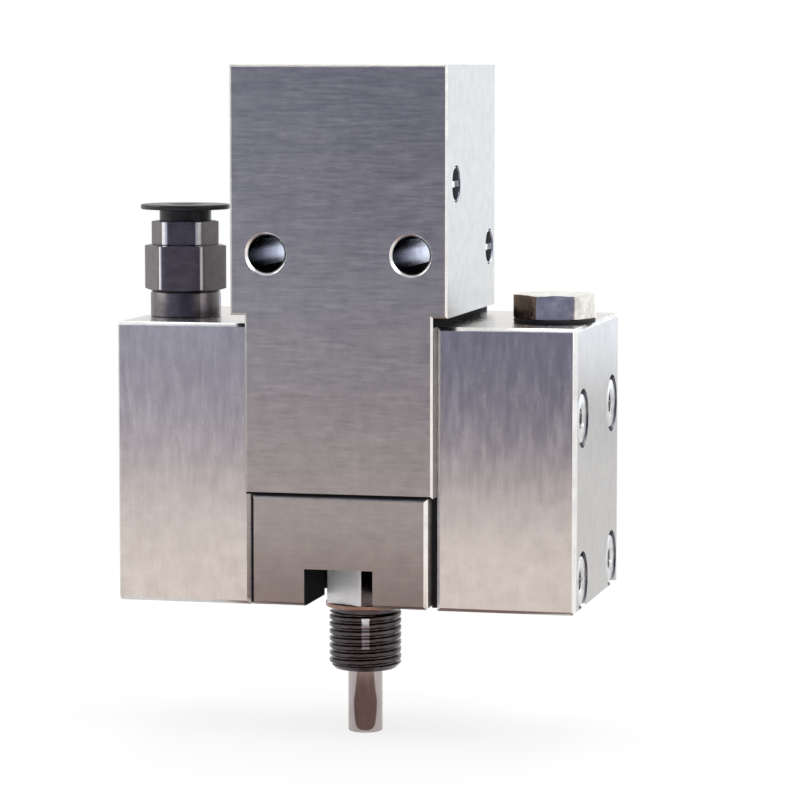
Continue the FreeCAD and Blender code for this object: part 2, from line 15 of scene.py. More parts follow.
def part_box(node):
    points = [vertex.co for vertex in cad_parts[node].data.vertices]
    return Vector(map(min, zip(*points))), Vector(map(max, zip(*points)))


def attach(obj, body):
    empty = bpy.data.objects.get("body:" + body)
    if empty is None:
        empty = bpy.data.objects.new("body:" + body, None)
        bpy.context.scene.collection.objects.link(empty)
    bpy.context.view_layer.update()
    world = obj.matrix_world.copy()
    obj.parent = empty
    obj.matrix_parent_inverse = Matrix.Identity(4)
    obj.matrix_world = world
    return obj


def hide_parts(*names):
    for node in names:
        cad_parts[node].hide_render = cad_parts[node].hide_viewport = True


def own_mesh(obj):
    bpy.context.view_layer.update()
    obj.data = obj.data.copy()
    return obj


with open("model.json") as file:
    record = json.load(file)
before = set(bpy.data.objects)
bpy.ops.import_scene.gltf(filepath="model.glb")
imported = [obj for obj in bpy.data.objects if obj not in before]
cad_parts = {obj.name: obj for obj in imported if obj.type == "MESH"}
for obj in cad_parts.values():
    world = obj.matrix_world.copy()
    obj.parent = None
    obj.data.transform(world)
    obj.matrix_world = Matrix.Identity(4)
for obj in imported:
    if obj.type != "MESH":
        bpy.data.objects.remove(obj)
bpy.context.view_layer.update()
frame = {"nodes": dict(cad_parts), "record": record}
nodes = frame["nodes"]
mm = 0.001


def new_object(name, data):
    made = bpy.data.objects.new(name, data)
    bpy.context.scene.collection.objects.link(made)
    return made


# %% [markdown]
# The photograph looks at the front from a little to the right, with the lens nearly level with
# the top of the valve. A long lens keeps the upright edges almost parallel. The camera is placed
# by the point that it looks at and by its distance, so that the sizes in the picture follow.

# %% Camera
frame_pixels = 800
sensor_width = 36.0
focal_pixels = 3446
camera_azimuth = radians(13.58)
camera_pitch = radians(5.51)
camera_distance = 476.5 * mm
aim_sideways = 4.81 * mm
aim_height = 46.24 * mm

sideways = Vector((cos(camera_azimuth), sin(camera_azimuth), 0))
ahead = Vector((-sin(camera_azimuth) * cos(camera_pitch),
                cos(camera_azimuth) * cos(camera_pitch),
                -sin(camera_pitch)))
aim = sideways * aim_sideways + Vector((0, 0, aim_height))

camera_data = bpy.data.cameras.new("product_camera")
camera_data.sensor_width = sensor_width
camera_data.lens = focal_pixels * sensor_width / frame_pixels
camera_data.clip_start = 0.01
camera = new_object("product_camera", camera_data)
camera.location = aim - ahead * camera_distance
camera.rotation_euler = ahead.to_track_quat("-Z", "Y").to_euler()
bpy.context.scene.camera = camera
bpy.context.scene.view_settings.view_transform = "Standard"
print("lens", round(camera_data.lens, 1), "mm, camera at", [round(v, 3) for v in camera.location])

# %% [markdown]
# Ground steel shows its surroundings more than its own colour, so the light is built from what
# the metal should mirror: a white room, a pale floor, and a dim bluish card close in front that
# only mirror rays see. The card ends a little above the floor. The front faces then read as dim
# blue above and as bright cream below, as they do in a light tent, while the side faces stay bright.
# Three soft lamps add the plain light that also falls on rough and dark pieces.

# %% Small helpers for node trees
def new_material(name):
    made = bpy.data.materials.new(name)
    made.use_nodes = True
    tree = made.node_tree
    tree.nodes.clear()
    output = tree.nodes.new("ShaderNodeOutputMaterial")
    return made, tree, output


def add_node(tree, kind, **settings):
    made = tree.nodes.new(kind)
    for key, value in settings.items():
        setattr(made, key, value)
    return made


def set_inputs(node, **values):
    for key, value in values.items():
        node.inputs[key.replace("_", " ")].default_value = value
    return node


def feed(tree, source, socket):
    # A source is a colour, a number or the output of another node.
    if isinstance(source, tuple):
        socket.default_value = (*source, 1)
    elif isinstance(source, (int, float)):
        socket.default_value = source
    else:
        tree.links.new(source, socket)


def math_node(tree, operation, *sources, clamp=False):
    made = add_node(tree, "ShaderNodeMath", operation=operation, use_clamp=clamp)
    for place, source in enumerate(sources):
        feed(tree, source, made.inputs[place])
    return made.outputs[0]


def ramp_node(tree, source, low, high, to_low=0.0, to_high=1.0):
    made = add_node(tree, "ShaderNodeMapRange", interpolation_type="SMOOTHSTEP")
    set_inputs(made, From_Min=low, From_Max=high, To_Min=to_low, To_Max=to_high)
    tree.links.new(source, made.inputs["Value"])
    return made.outputs[0]


def mix_colours(tree, factor, first, second, blend="MIX"):
    made = add_node(tree, "ShaderNodeMix", data_type="RGBA", blend_type=blend)
    for socket, source in (("Factor", factor), ("A", first), ("B", second)):
        feed(tree, source, made.inputs[socket])
    return made.outputs["Result"]


def shaded_point(tree):
    return add_node(tree, "ShaderNodeTexCoord").outputs["Object"]


def place_along(tree, axis):
    # Where a shaded point lies on its piece, along one axis.
    split = add_node(tree, "ShaderNodeSeparateXYZ")
    tree.links.new(shaded_point(tree), split.inputs[0])
    return split.outputs[axis]


def from_origin(tree):
    # How far a shaded point lies from the origin, where the valve stands.
    reach = add_node(tree, "ShaderNodeVectorMath", operation="LENGTH")
    tree.links.new(shaded_point(tree), reach.inputs[0])
    return reach.outputs["Value"]


def join_shader(tree, output, shader, colour, rough_by, rough_span, bump_by, bump_strength, bump_deep):
    # One source sets the roughness, which goes over a span, and another lifts the surface.
    roughness = add_node(tree, "ShaderNodeMapRange")
    bump = set_inputs(add_node(tree, "ShaderNodeBump"), Strength=bump_strength, Distance=bump_deep)
    for place, source in enumerate((rough_by, *rough_span)):
        feed(tree, source, roughness.inputs[place])
    for source, node, socket in ((bump_by, bump, "Height"), (colour, shader, "Base Color"),
                                 (roughness.outputs[0], shader, "Roughness"),
                                 (bump.outputs[0], shader, "Normal"), (shader.outputs[0], output, 0)):
        tree.links.new(source, node.inputs[socket])


def mix_shaders(tree, output, factor, first, second):
    mix = add_node(tree, "ShaderNodeMixShader")
    for place, source in enumerate((factor, first.outputs[0], second.outputs[0])):
        tree.links.new(source, mix.inputs[place])
    tree.links.new(mix.outputs[0], output.inputs[0])


def direct_rays(tree):
    # One for rays that show a thing itself, and none for those that only carry its light.
    path = add_node(tree, "ShaderNodeLightPath")
    seen = math_node(tree, "MAXIMUM", path.outputs["Is Camera Ray"], path.outputs["Is Glossy Ray"])
    return math_node(tree, "MAXIMUM", seen, path.outputs["Is Transmission Ray"])


print("node helpers ready")


# %% World and lamps
def build_world(shade, strength):
    world = bpy.data.worlds.new("white_room")
    bpy.context.scene.world = world
    world.use_nodes = True
    tree = world.node_tree
    tree.nodes.clear()
    room = set_inputs(add_node(tree, "ShaderNodeBackground"), Color=shade, Strength=strength)
    white = set_inputs(add_node(tree, "ShaderNodeBackground"), Color=(1, 1, 1, 1), Strength=1.0)
    mix_shaders(tree, add_node(tree, "ShaderNodeOutputWorld"), direct_rays(tree), room, white)


def add_lamp(name, place, size, power, target=Vector((0, 0, 0.05))):
    data = bpy.data.lights.new(name, "AREA")
    data.shape = "SQUARE"
    data.size = size
    data.energy = power
    lamp = new_object(name, data)
    lamp.location = place
    lamp.rotation_euler = (target - lamp.location).to_track_quat("-Z", "Y").to_euler()


build_world(shade=(0.96, 0.98, 1.0, 1), strength=0.7)
add_lamp("key_right", (0.6, -0.25, 0.6), 0.4, 3.0)
add_lamp("fill_left", (-0.65, -0.15, 0.45), 0.5, 2.0)
add_lamp("top_soft", (0.0, 0.3, 0.8), 0.6, 3.0)
print("lamps:", [lamp.name for lamp in bpy.data.lights])


# %% Floor and the front card
def flat_sheet(name, corners, material):
    mesh = bpy.data.meshes.new(name)
    mesh.from_pydata(corners, [], [(0, 1, 2, 3)])
    mesh.materials.append(material)
    made = new_object(name, mesh)
    return made


def rectangle(left, right, near, far, low, high):
    return [(left, near, low), (right, near, low), (right, far, high), (left, far, high)]


def mirrored_sheet(name, corners, material):
    # A sheet that mirror rays see, and that neither the camera nor the plain light knows.
    sheet = flat_sheet(name, corners, material)
    for ray in ("camera", "diffuse", "transmission", "shadow"):
        setattr(sheet, "visible_" + ray, False)


def floor_material(shade, near_white, near_reach, far_reach):
    # Close to the valve the floor keeps its own shade and shadow, and far off it turns plain white.
    made, tree, output = new_material("pale_floor")
    diffuse = set_inputs(add_node(tree, "ShaderNodeBsdfDiffuse"), Color=(*shade, 1))
    glow = set_inputs(add_node(tree, "ShaderNodeEmission"), Color=(1, 1, 1, 1), Strength=1.0)
    white = ramp_node(tree, from_origin(tree), near_reach, far_reach, near_white, 1.0)
    mix_shaders(tree, output, math_node(tree, "MULTIPLY", white, direct_rays(tree)), diffuse, glow)
    return made


def show_glow(tree, output, colour):
    glow = add_node(tree, "ShaderNodeEmission")
    tree.links.new(colour, glow.inputs["Color"])
    tree.links.new(glow.outputs[0], output.inputs[0])


def card_material(left_shade, right_shade, left, right, tints, heights):
    # The shade changes from left to right, and three tints follow each other from the bottom up.
    made, tree, output = new_material("front_card")
    up = place_along(tree, "Z")
    lower = mix_colours(tree, ramp_node(tree, up, heights[0], heights[1]), tints[0], tints[1])
    tint = mix_colours(tree, ramp_node(tree, up, heights[1], heights[2]), lower, tints[2])
    across = ramp_node(tree, place_along(tree, "X"), left, right)
    shade = mix_colours(tree, across, left_shade, right_shade)
    show_glow(tree, output, mix_colours(tree, 1.0, shade, tint, "MULTIPLY"))
    return made


floor_z, card_y = 0.0, -0.12
card_low, card_high = 0.0225, 0.40
flat_sheet("floor", rectangle(left=-3, right=3, near=-0.9, far=3, low=floor_z, high=floor_z),
           floor_material(shade=(0.86, 0.86, 0.86), near_white=0.8, near_reach=0.08, far_reach=0.3))
mirrored_sheet("front_card",
               rectangle(left=-0.20, right=0.12, near=card_y, far=card_y, low=card_low, high=card_high),
               card_material(left_shade=(0.44, 0.46, 0.59), right_shade=(0.175, 0.19, 0.30),
                             left=-0.07, right=0.0,
                             tints=((0.93, 0.83, 0.80), (1.10, 1.09, 1.08), (0.68, 0.72, 0.79)),
                             heights=(0.022, 0.052, 0.082)))
print("floor at", floor_z, "card from", card_low, "to", card_high)

# %% [markdown]
# Four more sheets are seen by mirror rays alone. A dark brown fan lies on the floor just in front
# of the valve: it stands for the valve's own dark mirror image, and gives the round tube its dark
# middle between bright edges. Further in front lies a cream sheet, which warms the lower ends of
# the front faces. A dull strip behind on the right shows as a darker band in the right block's
# side, and a bright panel beyond it makes the body's side look white.

# %% Sheets on the floor and the panel behind
def glow_material(name, near_shade, far_shade, near, far):
    # Plain light whose shade changes with the distance from the origin.
    made, tree, output = new_material(name)
    outward = ramp_node(tree, from_origin(tree), near, far)
    show_glow(tree, output, mix_colours(tree, outward, near_shade, far_shade))
    return made


def floor_sheet(name, near, far, near_half, far_half, lift, material):
    # A strip of floor that runs from the valve toward the camera, and is wider at its far end.
    corners = [sideways * across + toward_camera * along + Vector((0, 0, lift))
               for across, along in ((-near_half, near), (-far_half, far),
                                     (far_half, far), (near_half, near))]
    mirrored_sheet(name, corners, material)
    print(name, "from", round(near / mm), "to", round(far / mm), "mm in front")


toward_camera = Vector((sin(camera_azimuth), -cos(camera_azimuth), 0))
floor_sheet("front_fan", near=2.5 * mm, far=105 * mm, near_half=14 * mm, far_half=130 * mm,
            lift=0.3 * mm, material=glow_material("fan_glow", (0.27, 0.185, 0.17), (1.05, 0.90, 0.83),
                                                  0.018, 0.100))
floor_sheet("cream_sheet", near=110 * mm, far=700 * mm, near_half=250 * mm, far_half=500 * mm,
            lift=0.2 * mm, material=glow_material("cream_glow", (1.20, 1.07, 1.00), (1.08, 1.01, 0.97),
                                                  0.25, 0.55))

dull_z, panel_y = 0.3 * mm, 0.55
panel_shade = (1.64, 1.74, 1.88)
mirrored_sheet("dull_strip",
               rectangle(left=0.073, right=0.223, near=0.395, far=0.515, low=dull_z, high=dull_z),
               glow_material("dull_glow", (0.42, 0.36, 0.32), (0.50, 0.47, 0.46), 0.43, 0.53))
mirrored_sheet("side_panel",
               rectangle(left=0.06, right=0.42, near=panel_y, far=panel_y, low=0.002, high=0.2),
               glow_material("panel_glow", panel_shade, panel_shade, 0.1, 0.2))
print("panel at", panel_y)

# %% [markdown]
# Every steel face of the valve was milled and then rubbed with abrasive cloth. Seen close, that
# is three things: fine streaks along the rubbing direction, soft patches where the metal has
# dulled, and a very fine grain. One node group makes all three from the place on the piece, and
# each steel puts in its own scale and direction.

# %% A shared group for rubbed metal
def build_rubbed_group(grain_height=0.35):
    group = bpy.data.node_groups.new("rubbed_metal", "ShaderNodeTree")
    face = group.interface
    for name, kind in (("Stretch", "NodeSocketVector"), ("Patch Scale", "NodeSocketFloat"),
                       ("Grain Scale", "NodeSocketFloat")):
        face.new_socket(name=name, in_out="INPUT", socket_type=kind)
    for name in ("Streak", "Patch", "Height"):
        face.new_socket(name=name, in_out="OUTPUT", socket_type="NodeSocketFloat")
    put_in = add_node(group, "NodeGroupInput")
    put_out = add_node(group, "NodeGroupOutput")
    place = shaded_point(group)
    stretch = add_node(group, "ShaderNodeVectorMath", operation="MULTIPLY")
    streaks = set_inputs(add_node(group, "ShaderNodeTexNoise"), Scale=1.0, Detail=5.0, Roughness=0.62)
    patches = set_inputs(add_node(group, "ShaderNodeTexNoise"), Detail=4.0, Roughness=0.6)
    grain = set_inputs(add_node(group, "ShaderNodeTexNoise"), Detail=2.0, Roughness=0.7)
    link = group.links.new
    link(place, stretch.inputs[0])
    link(put_in.outputs["Stretch"], stretch.inputs[1])
    link(stretch.outputs[0], streaks.inputs["Vector"])
    for noise, scale in ((patches, "Patch Scale"), (grain, "Grain Scale")):
        link(place, noise.inputs["Vector"])
        link(put_in.outputs[scale], noise.inputs["Scale"])
    height = math_node(group, "MULTIPLY_ADD", grain.outputs["Fac"], grain_height, streaks.outputs["Fac"])
    link(streaks.outputs["Fac"], put_out.inputs["Streak"])
    link(patches.outputs["Fac"], put_out.inputs["Patch"])
    link(height, put_out.inputs["Height"])
    return group


rubbed_group = build_rubbed_group()
print("group outputs:", [s.name for s in rubbed_group.interface.items_tree if s.in_out == "OUTPUT"])

# %% [markdown]
# A metal mixes a dark and a light shade by the group's patches and streaks, and lets the streaks
# change its roughness too. Some steels also carry a tint that fades out along one axis: painted
# shade low on the body and on the seat block, and painted shade near the mouth of a hole.

# %% Metals that use the group
patch_share, streak_share = 1.3, 1.6


def rubbed_metal(name, dark, light, stretch, patch_scale, grain_scale, rough, rough_spread,
                 bump_strength=0.10, contrast=1.0, metallic=1.0, tint=None, tint_axis="Z"):
    made, tree, output = new_material(name)
    marks = add_node(tree, "ShaderNodeGroup", node_tree=rubbed_group)
    set_inputs(marks, Stretch=(stretch[0], stretch[0], stretch[1]), Patch_Scale=patch_scale,
               Grain_Scale=grain_scale)
    patched = math_node(tree, "MULTIPLY_ADD", marks.outputs["Patch"], patch_share * contrast,
                        0.5 - patch_share / 2 * contrast)
    shifted = math_node(tree, "SUBTRACT", marks.outputs["Streak"], 0.5)
    streaked = math_node(tree, "MULTIPLY_ADD", shifted, streak_share * contrast, patched, clamp=True)
    colour = mix_colours(tree, streaked, dark, light)
    # The tint is painted shade: it darkens the colour towards one end along its axis.
    if tint:
        low_tint, low, high = tint
        out_of_shade = ramp_node(tree, place_along(tree, tint_axis), low, high)
        painted_shade = mix_colours(tree, out_of_shade, low_tint, (1.0, 1.0, 1.0))
        colour = mix_colours(tree, 1.0, colour, painted_shade, "MULTIPLY")
    shader = set_inputs(add_node(tree, "ShaderNodeBsdfPrincipled"), Metallic=metallic)
    join_shader(tree, output, shader, colour, marks.outputs["Streak"],
                (0.3, 0.7, rough - rough_spread, rough + rough_spread), marks.outputs["Height"],
                bump_strength, 0.05 * mm)
    return made


# Each recipe: dark shade, light shade, stretch level and upright, patch scale, grain scale,
# roughness, its spread, and other settings.
metal_recipes = {
    # The body and the seat block are darkened towards the bottom by their tint, as painted shade.
    "body_steel": ((0.41, 0.40, 0.38), (0.60, 0.585, 0.56), (300, 3000), 520, 4200, 0.40, 0.06,
                   dict(contrast=0.9, tint=((0.93, 0.90, 0.90), 0.034, 0.062))),
    "seat_steel": ((0.385, 0.365, 0.34), (0.54, 0.51, 0.475), (300, 3000), 520, 4200, 0.40, 0.06,
                   dict(contrast=0.9, tint=((0.66, 0.60, 0.61), 0.019, 0.034))),
    "block_steel": ((0.52, 0.50, 0.485), (0.72, 0.70, 0.68), (1300, 220), 420, 4200, 0.25, 0.04,
                    dict(bump_strength=0.03, contrast=0.9)),
    # A darker copy of the block steel: painted shade on the right block's right face.
    "shaded_side_steel": ((0.36, 0.35, 0.34), (0.51, 0.495, 0.48), (1300, 220), 420, 4200, 0.30, 0.05,
                   dict(bump_strength=0.06, contrast=0.9)),
    # Bluish hole walls are a painted reflection, which the tint darkens near the mouth as painted shade.
    "hole_steel": ((0.42, 0.44, 0.54), (0.70, 0.73, 0.86), (600, 600), 400, 5000, 0.30, 0.06,
                   dict(tint=((0.02, 0.02, 0.025), -0.0138, -0.001), tint_axis="Y")),
    # A brighter steel as a painted highlight on chamfers, hole mouths and screw slots.
    "painted_highlight_steel": ((0.74, 0.73, 0.72), (0.90, 0.89, 0.88), (400, 400), 400, 5000, 0.28, 0.05,
                   dict(bump_strength=0.02)),
    # Painted shade on the walls of the side blocks' bores and counterbores.
    "shaded_bore_steel": ((0.10, 0.10, 0.115), (0.20, 0.20, 0.23), (600, 600), 400, 5000, 0.30, 0.06, {}),
    "bright_steel": ((0.50, 0.48, 0.47), (0.74, 0.72, 0.71), (300, 2600), 500, 6000, 0.24, 0.06, {}),
    "hex_steel": ((0.78, 0.76, 0.76), (0.95, 0.93, 0.93), (500, 1500), 400, 5000, 0.40, 0.05,
                  dict(metallic=0.2)),
    "tube_steel": ((0.36, 0.32, 0.31), (0.48, 0.43, 0.42), (900, 120), 400, 5000, 0.15, 0.03, {}),
    "plug_steel": ((0.60, 0.57, 0.53), (0.97, 0.93, 0.89), (600, 600), 700, 5000, 0.22, 0.06,
                   dict(contrast=1.3)),
    "screw_steel": ((0.50, 0.50, 0.50), (0.72, 0.72, 0.72), (700, 700), 700, 7000, 0.28, 0.06, {}),
    "black_steel": ((0.125, 0.112, 0.118), (0.195, 0.176, 0.186), (500, 1500), 600, 6000, 0.34,
                    0.06, {}),
    # A lighter black: painted light on flats that face the light, and in the thread's painted highlight.
    "painted_sheen_steel": ((0.30, 0.275, 0.30), (0.42, 0.385, 0.42), (500, 1500), 600, 6000, 0.36, 0.06, {}),
    "thread_black": ((0.050, 0.042, 0.044), (0.120, 0.104, 0.108), (500, 1500), 600, 6000, 0.24,
                     0.06, {}),
    # Painted shade on the plug's front left flat.
    "shaded_flat_steel": ((0.17, 0.125, 0.10), (0.38, 0.28, 0.235), (600, 600), 700, 5000, 0.26, 0.06,
                      dict(contrast=1.3)),
    # Painted highlight on the hexagons' corners.
    "corner_highlight_steel": ((0.78, 0.76, 0.78), (0.97, 0.95, 0.97), (900, 900), 600, 5000, 0.25, 0.05, {}),
    "copper": ((0.22, 0.13, 0.10), (0.38, 0.25, 0.20), (600, 1800), 500, 6000, 0.30, 0.05, {}),
    "bronze": ((0.44, 0.31, 0.15), (0.66, 0.50, 0.28), (500, 1500), 400, 6000, 0.33, 0.05, {}),
    "aluminium": ((0.62, 0.63, 0.65), (0.80, 0.81, 0.83), (900, 900), 400, 6000, 0.30, 0.05, {}),
}
finish = {}
for name, (*recipe, settings) in metal_recipes.items():
    finish[name] = rubbed_metal(name, *recipe, **settings)
print("metals made:", len(finish))

# %% [markdown]
# Rubber, plastic and the shim sheet aren't rubbed metals; the shim is bare metal at its top and
# painted black below as the shadow in its gap. They share a simple recipe: a base colour that
# wanders a little, a matt or satin surface and a fine moulded texture.

# %% Moulded and cut sheet materials
def moulded(name, dark, light, scale, rough, bump_strength, gloss=0.5, bare_above=None):
    made, tree, output = new_material(name)
    noise = set_inputs(add_node(tree, "ShaderNodeTexNoise"), Scale=scale, Detail=5.0, Roughness=0.6)
    tree.links.new(shaded_point(tree), noise.inputs["Vector"])
    cloud = noise.outputs["Fac"]
    colour = mix_colours(tree, cloud, dark, light)
    shader = set_inputs(add_node(tree, "ShaderNodeBsdfPrincipled"), Specular_IOR_Level=gloss)
    if bare_above:
        # Below this height the sheet is painted black as the shadow in its gap; above it bare metal
        # shows.
        above_shadow = ramp_node(tree, place_along(tree, "Z"), bare_above, bare_above + 0.4 * mm)
        colour = mix_colours(tree, above_shadow, colour, (0.80, 0.78, 0.77))
        tree.links.new(above_shadow, shader.inputs["Metallic"])
    join_shader(tree, output, shader, colour, cloud, (0, 1, rough - 0.08, rough + 0.08), cloud,
                bump_strength, 0.04 * mm)
    return made


# Each recipe: dark shade, light shade, cloud scale, roughness, bump strength and other settings.
moulded_recipes = {
    "seal_rubber": ((0.004, 0.004, 0.005), (0.012, 0.012, 0.013), 2500, 0.7, 0.15, dict(gloss=0.3)),
    "seal_plastic": ((0.70, 0.70, 0.67), (0.82, 0.82, 0.79), 1500, 0.4, 0.1, {}),
    # The shim's black below its top strip is painted shadow.
    "shim_dark": ((0.006, 0.006, 0.008), (0.02, 0.019, 0.022), 1800, 0.6, 0.15,
                  dict(gloss=0.1, bare_above=34.6 * mm)),
    # Black as painted shade in recesses, gaps, holes and on the side screws, and for the dark joint.
    "joint_and_shade_black": ((0.003, 0.003, 0.004), (0.009, 0.008, 0.011), 1500, 0.7, 0.15, dict(gloss=0.05)),
    "black_plastic": ((0.008, 0.007, 0.009), (0.022, 0.020, 0.024), 1600, 0.35, 0.1, dict(gloss=0.35)),
}
for name, (*recipe, settings) in moulded_recipes.items():
    finish[name] = moulded(name, *recipe, **settings)
finish["spring_steel"] = finish["bright_steel"]

node_slot = {entry["node"]: entry["material_slot"] for entry in frame["record"]["subparts"]}
node_body = {node: body for body, members in frame["record"]["behaviour"]["bodies"].items()
             for node in members}
for node, piece in nodes.items():
    piece.data.materials.clear()
    piece.data.materials.append(finish[node_slot[node]])
print("finishes given to", len(nodes), "CAD nodes")

# %% [markdown]
# Milled blocks never have razor edges: the machinist breaks each one with a file, and that narrow
# strip catches the light. The CAD solids have sharp edges, so each block is copied, its loose
# triangles are merged, and its edges are eased by a tenth of a millimetre. The strips that face
# right, and the upper ones of the side blocks, get a brighter steel as a painted highlight, where
# the light from the right and from above falls. Holes, the recess and the narrow gaps get dark
# finishes as painted shade.

# %% Helpers for pieces that take a CAD node's place
def hand_over(name, mesh, node):
    # The piece stands for the node, in the node's own body, and the node is hidden.
    piece = new_object(name, mesh)
    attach(piece, node_body[node])
    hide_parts(node)
    return piece


def is_square(face):
    return max(abs(part) for part in face.normal) > 0.9999


def smooth_mesh(name, shape, finishes, wide_area=25 * mm * mm):
    # An edge is shaded sharp where the faces turn by 30 degrees, or where a wide flat face ends.
    mesh = bpy.data.meshes.new(name)
    bmesh.ops.recalc_face_normals(shape, faces=shape.faces)
    shape.normal_update()
    wide = {face for face in shape.faces if is_square(face) and face.calc_area() > wide_area}
    for edge in shape.edges:
        turn = edge.calc_face_angle(pi)
        flat_ends = turn >= radians(3) and not wide.isdisjoint(edge.link_faces)
        edge.smooth = turn < radians(30) and not flat_ends
    shape.to_mesh(mesh)
    shape.free()
    mesh.polygons.foreach_set("use_smooth", [True] * len(mesh.polygons))
    for name_of_finish in finishes:
        mesh.materials.append(finish[name_of_finish])
    return mesh


def dress(name, shape, finishes, node):
    return hand_over(name, smooth_mesh(name, shape, finishes), node)


def merged_solid(node):
    shape = bmesh.new()
    shape.from_mesh(nodes[node].data)
    bmesh.ops.remove_doubles(shape, verts=shape.verts, dist=0.001 * mm)
    bmesh.ops.dissolve_limit(shape, angle_limit=radians(0.5), verts=shape.verts, edges=shape.edges)
    return shape


def z_range(node):
    low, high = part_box(node)
    return low[2], high[2]


def middle_and_size(node):
    low, high = [Vector(corner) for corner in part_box(node)]
    return (low + high) / 2, high - low


print("helpers ready")

# %% Places on the blocks
body_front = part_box("valve_body")[0][1]
seam_z = z_range("valve_body")[0]
gap_low = z_range("purge_block")[1]
gap_high = gap_low + 1.45 * mm
gap_inner = 12.9 * mm
seat_block_low = z_range("seat_block")[0]
recess_top = seat_block_low + 5.15 * mm
recess_reach = 6.4 * mm
front_slot_half = 4.8 * mm
edge_ease = 0.10 * mm
mouth_reach, mouth_deep = 2.9 * mm, 0.35 * mm
mounting = next(mount for mount in frame["record"]["mounts"] if mount["name"] == "mounting_holes")
hole_x = mounting["dims"]["spacing_x_mm"] / 2 * mm
hole_z = mounting["pos_m"][2]
hole_reach = mounting["dims"]["hole_r_mm"] * mm
print("mounting holes at", hole_x, hole_z, "gap above", round(gap_low, 4))


# %% Eased copies of the milled blocks
def widen_countersinks(shape):
    # The mounting holes' mouths are filed wider by hand than the drill left them.
    for vertex in shape.verts:
        for side in (-hole_x, hole_x):
            out = Vector((vertex.co.x - side, 0, vertex.co.z - hole_z))
            from_front = vertex.co.y - body_front
            if out.length < hole_reach * 1.3 and from_front < 1 * mm:
                deep = 0 if from_front < 0.1 * mm else mouth_deep
                middle = Vector((side, body_front + deep, hole_z))
                vertex.co = middle + out.normalized() * (mouth_reach - deep)


def sort_faces(shape, choose, depth=0.7 * mm, small_area=3 * mm * mm):
    # The choice goes first. Then finish 2 goes to the inner walls with painted shade, and 1 to
    # chamfers that face right as a painted highlight.
    spans = [(min(places), max(places)) for places in zip(*[vertex.co for vertex in shape.verts])]
    for face in shape.faces:
        middle = face.calc_center_median()
        square = is_square(face)
        inside = all(low + depth < at < high - depth for at, (low, high) in zip(middle, spans))
        chosen = choose(middle, face.normal, square)
        if chosen is not None:
            face.material_index = chosen
        elif inside and (not square or face.calc_area() < small_area):
            face.material_index = 2
        elif not square and face.normal.x > 0.3:
            face.material_index = 1
        else:
            face.material_index = 0


def eased_block(node, finishes, choose):
    shape = merged_solid(node)
    if node == "valve_body":
        widen_countersinks(shape)
    hard = [edge for edge in shape.edges
            if len(edge.link_faces) == 2 and edge.calc_face_angle() > radians(40)]
    bmesh.ops.bevel(shape, geom=hard, offset=edge_ease, segments=2, profile=0.5, affect="EDGES",
                    clamp_overlap=True)
    if node == "valve_body":
        # A cut at the side blocks' top lets the gap above them have its own finish.
        bmesh.ops.bisect_plane(shape, geom=shape.verts[:] + shape.edges[:] + shape.faces[:], dist=1e-6,
                               plane_co=(0, 0, gap_low), plane_no=(0, 0, 1))
    shape.normal_update()
    sort_faces(shape, choose)
    print(node, "edges eased:", len(hard), "faces:", len(shape.faces))
    dress(node + "_milled", shape, finishes, node)


def body_choice(middle, normal, square):
    # The joint with the seat block is a dark line, and the gaps above the side blocks are dark as
    # painted shade. The mounting holes' mouths carry a painted highlight, and inside the holes are
    # black above and below as painted shade, and bluish between as a painted reflection.
    in_gap = gap_low < middle.z < gap_high and abs(normal.y) < 0.5 and abs(middle.x) > gap_inner
    if in_gap or middle.z < seam_z + 0.4 * mm:
        return 3
    from_hole = hypot(abs(middle.x) - hole_x, middle.z - hole_z)
    if from_hole > mouth_reach + 0.05 * mm or abs(normal.y) > 0.99:
        return None
    if middle.y < body_front + mouth_deep + 0.01 * mm:
        return 1
    return 3 if abs(normal.z) > 0.72 else 2


def in_recess(middle):
    # The round recess of the seat block, with the slot that opens it to the front.
    in_slot = abs(middle.x) < front_slot_half and body_front + 0.2 * mm < middle.y < 0
    in_height = seat_block_low + 0.2 * mm < middle.z < recess_top
    return in_height and (in_slot or hypot(middle.x, middle.y) < recess_reach)


def seat_choice(middle, normal, square):
    # The recess and the chamfers that face left are dark as painted shade, and the joint with the
    # body is a dark line.
    dark = in_recess(middle) or (not square and normal.x < -0.3) or middle.z > seam_z - 0.12 * mm
    return 2 if dark else None


def side_choice(middle, normal, square):
    # The right face gets a darker copy of the block steel as painted shade, and the upper
    # chamfers a painted highlight. The right block's chamfer beside the body shows as a light line,
    # which is a painted highlight.
    if square and normal.x > 0.9 and middle.x > 31 * mm:
        return 3
    if not square and normal.x < -0.3 and normal.y < -0.3 and 0 < middle.x < 20 * mm:
        return 4
    return 1 if not square and normal.z > 0.3 and middle.z > gap_low - 1.5 * mm else None


eased_block("valve_body", ["body_steel", "painted_highlight_steel", "hole_steel", "joint_and_shade_black"], body_choice)
eased_block("seat_block", ["seat_steel", "painted_highlight_steel", "joint_and_shade_black"], seat_choice)
side_finishes = ["block_steel", "painted_highlight_steel", "shaded_bore_steel", "shaded_side_steel", "hex_steel"]
for node in ("inlet_block", "purge_block"):
    eased_block(node, side_finishes, side_choice)

# %% [markdown]
# Most of the small pieces were turned on a lathe: the outlet fitting, the tube, the rings, the
# nuts and the screws. Each is a stack of rings around an axis. A ring's reach may change with the
# angle, and that one idea gives round shanks, hexagons, knurls and the spiral of a thread.

